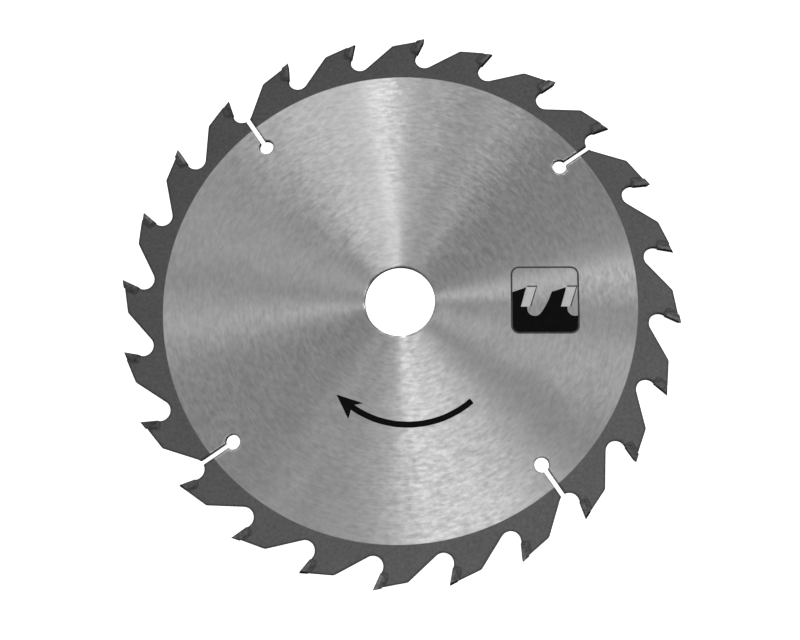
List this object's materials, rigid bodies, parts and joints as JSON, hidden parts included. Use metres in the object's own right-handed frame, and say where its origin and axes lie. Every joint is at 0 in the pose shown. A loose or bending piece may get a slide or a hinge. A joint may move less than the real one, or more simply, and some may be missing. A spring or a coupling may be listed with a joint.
{
  "type": "tct circular saw blade",
  "caption": "Flat circular saw blade with carbide tips brazed into hooked teeth, keyhole expansion slots and a plain central bore.",
  "frame": {"origin": "on the bore axis, halfway through the plate", "axes": "+Z along the bore axis, out of the printed face, from which the blade turns clockwise; +X towards the printed badge"},
  "size_m": [0.1592, 0.1592, 0.0024],
  "materials": {
    "plate_steel": "satin",
    "carbide": "satin",
    "braze": "satin",
    "ink": "matt"
  },
  "bodies": {
    "root": {"blade_body": "plate_steel", "carbide_tip_01": "carbide", "carbide_tip_02": "carbide", "carbide_tip_03": "carbide", "carbide_tip_04": "carbide", "carbide_tip_05": "carbide", "carbide_tip_06": "carbide", "carbide_tip_07": "carbide", "carbide_tip_08": "carbide", "carbide_tip_09": "carbide", "carbide_tip_10": "carbide", "carbide_tip_11": "carbide", "carbide_tip_12": "carbide", "carbide_tip_13": "carbide", "carbide_tip_14": "carbide", "carbide_tip_15": "carbide", "carbide_tip_16": "carbide", "carbide_tip_17": "carbide", "carbide_tip_18": "carbide", "carbide_tip_19": "carbide", "carbide_tip_20": "carbide", "carbide_tip_21": "carbide", "carbide_tip_22": "carbide", "carbide_tip_23": "carbide", "carbide_tip_24": "carbide", "braze_seam_01": "braze", "braze_seam_02": "braze", "braze_seam_03": "braze", "braze_seam_04": "braze", "braze_seam_05": "braze", "braze_seam_06": "braze", "braze_seam_07": "braze", "braze_seam_08": "braze", "braze_seam_09": "braze", "braze_seam_10": "braze", "braze_seam_11": "braze", "braze_seam_12": "braze", "braze_seam_13": "braze", "braze_seam_14": "braze", "braze_seam_15": "braze", "braze_seam_16": "braze", "braze_seam_17": "braze", "braze_seam_18": "braze", "braze_seam_19": "braze", "braze_seam_20": "braze", "braze_seam_21": "braze", "braze_seam_22": "braze", "braze_seam_23": "braze", "braze_seam_24": "braze"}
  },
  "joints": []
}
